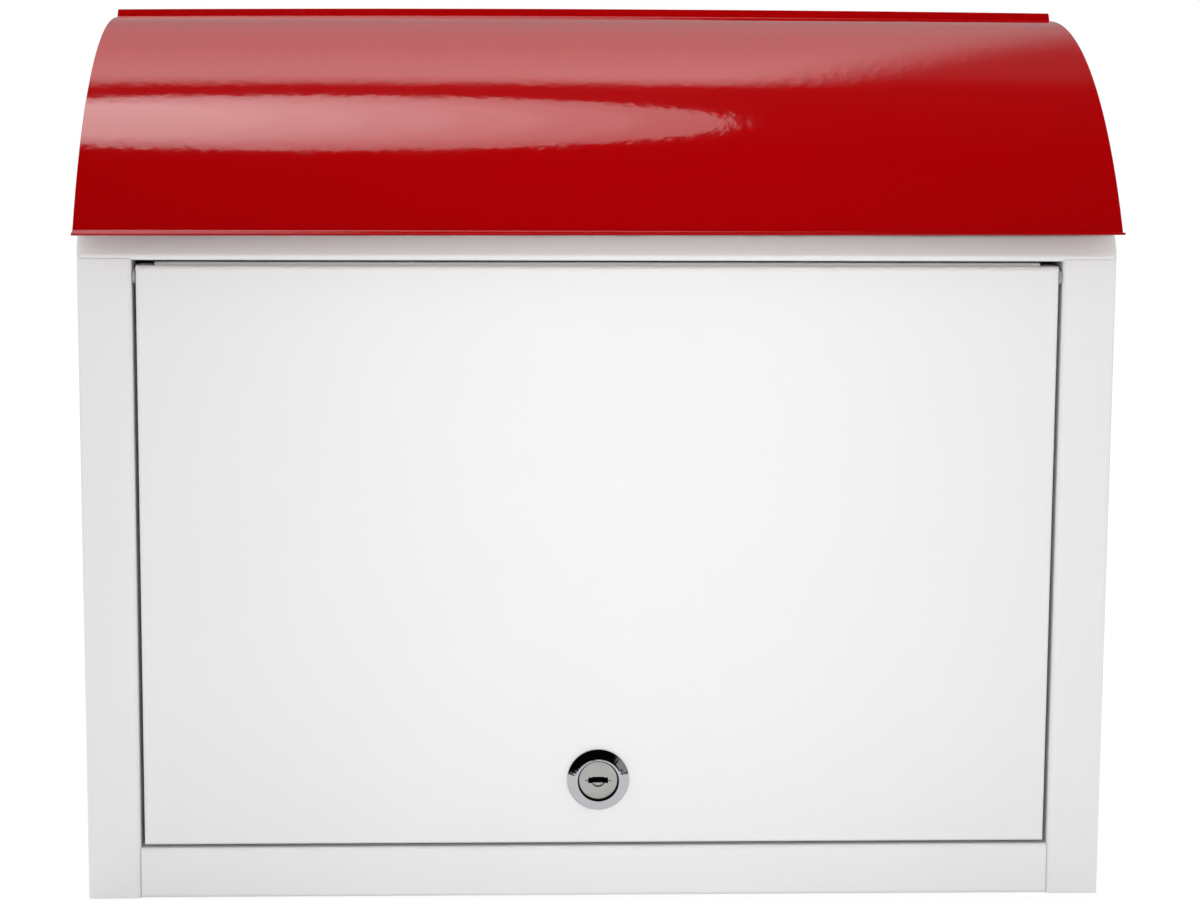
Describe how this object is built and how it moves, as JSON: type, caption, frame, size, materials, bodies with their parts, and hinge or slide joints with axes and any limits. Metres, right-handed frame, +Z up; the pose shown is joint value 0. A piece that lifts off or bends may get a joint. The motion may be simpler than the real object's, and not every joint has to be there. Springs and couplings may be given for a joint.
{
  "type": "wall mailbox",
  "caption": "White folded-steel wall mailbox with a red curved lid hinged at the back and an inset front door with a cam lock.",
  "frame": {"origin": "middle of the four wall holes, on the outside of the back panel", "axes": "+Y into the wall, +Z up, +X to the right seen from the front"},
  "size_m": [0.3606, 0.145, 0.3124],
  "materials": {
    "white_powder_coat": "satin powder coat",
    "red_powder_coat": "gloss powder coat",
    "zinc_steel": "bright zinc plate",
    "chrome": "polished chrome",
    "satin_nickel": "satin nickel",
    "rubber": "matt",
    "grey_nylon": "matt"
  },
  "bodies": {
    "box": {"body_shell": "white_powder_coat", "bottom_pan": "white_powder_coat", "top_rail": "white_powder_coat", "mail_chute": "white_powder_coat", "lid_hinge_fixed_leaf": "zinc_steel", "lid_hinge_pin": "zinc_steel", "lid_hinge_rivets": "zinc_steel", "lid_bumpers": "rubber", "door_pads": "rubber"},
    "lid": {"lid_cover": "red_powder_coat", "lid_hinge_moving_leaf": "zinc_steel"},
    "door": {"door_panel": "white_powder_coat", "door_pin_left": "zinc_steel", "door_pin_right": "zinc_steel", "spacer_washer_left": "grey_nylon", "spacer_washer_right": "grey_nylon", "lock_housing": "chrome", "lock_tooth_washer": "zinc_steel", "lock_nut": "zinc_steel"},
    "lock_plug": {"lock_plug": "satin_nickel", "lock_cam": "zinc_steel", "cam_stop_washer": "zinc_steel", "cam_screw": "zinc_steel"}
  },
  "joints": [
    {"name": "lid_hinge", "type": "hinge", "parent": "box", "child": "lid", "pos_m": [0, -0.0085, 0.16085], "axis": [-1, 0, 0], "range_deg": [0, 100]},
    {"name": "door_hinge", "type": "hinge", "parent": "box", "child": "door", "pos_m": [0, -0.1315, 0.0763], "axis": [-1, 0, 0], "range_deg": [0, 110]},
    {"name": "lock_turn", "type": "hinge", "parent": "door", "child": "lock_plug", "pos_m": [0.0005, -0.135, -0.1022], "axis": [0, 1, 0], "range_deg": [0, 90]}
  ]
}
